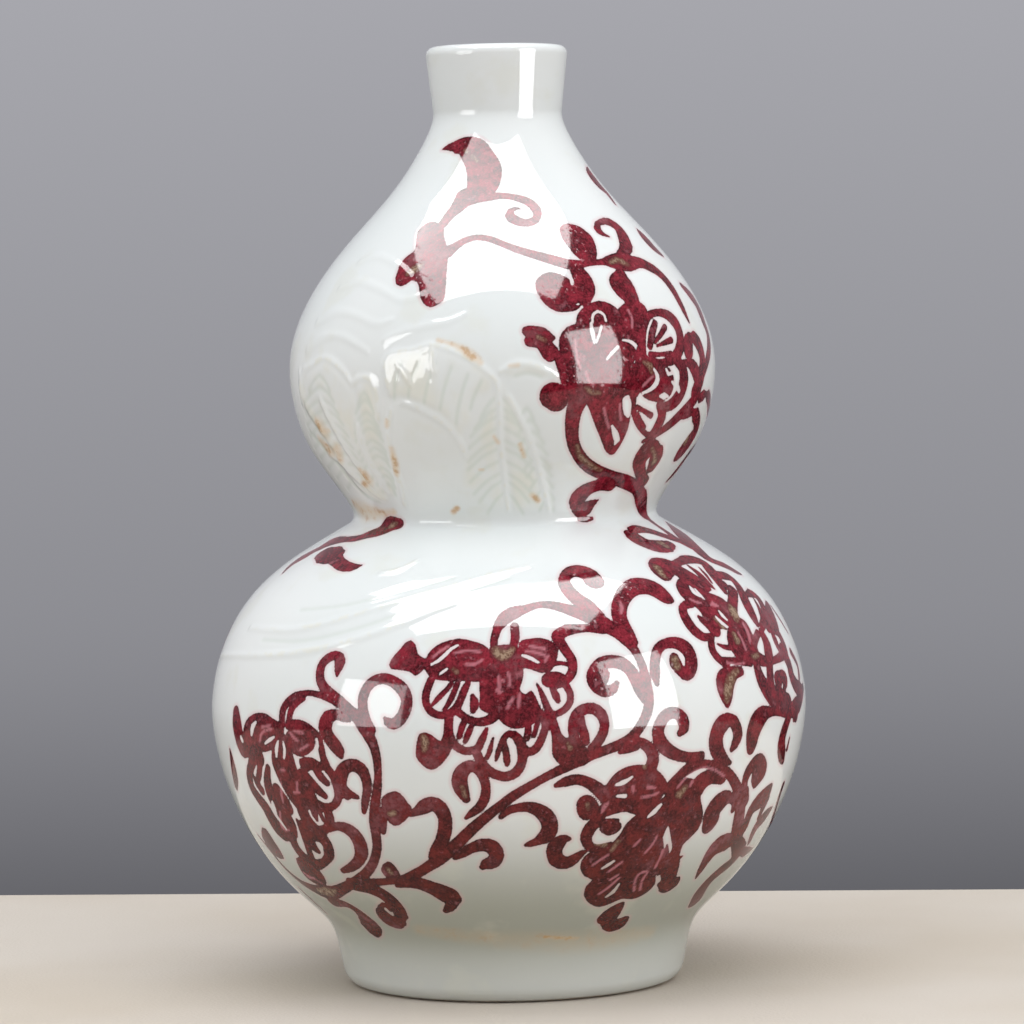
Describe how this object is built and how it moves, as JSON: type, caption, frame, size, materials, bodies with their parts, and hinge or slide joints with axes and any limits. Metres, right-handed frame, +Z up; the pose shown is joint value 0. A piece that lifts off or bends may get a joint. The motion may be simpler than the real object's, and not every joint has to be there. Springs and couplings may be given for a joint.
{
  "type": "double gourd vase",
  "caption": "Double-gourd porcelain vase with a short flared neck, a pinched waist and a foot ring, painted with scrolling flowers under a clear glaze.",
  "frame": {"origin": "centre of the circle on which the foot ring rests", "axes": "+Z up the vase's axis, -Y towards the painted front, +X to the viewer's right"},
  "size_m": [0.2302, 0.2302, 0.3613],
  "materials": {
    "porcelain_body": "fired white porcelain",
    "bare_porcelain": "unglazed porcelain, flushed by the fire at its edges",
    "slip": "fired slip in the seams",
    "clear_glaze": "clear glossy glaze with a faint blue-green tint, over copper-red brushwork"
  },
  "bodies": {
    "root": {"foot_ring": "bare_porcelain", "lower_bulb_bowl": "porcelain_body", "lower_bulb_shoulder": "porcelain_body", "upper_bulb_bowl": "porcelain_body", "upper_bulb_shoulder": "porcelain_body", "neck_collar": "porcelain_body", "foot_slip": "slip", "lower_belly_slip": "slip", "waist_slip": "slip", "upper_belly_slip": "slip", "neck_slip": "slip", "outer_glaze": "clear_glaze", "inner_glaze": "clear_glaze", "base_glaze": "clear_glaze"}
  },
  "joints": []
}
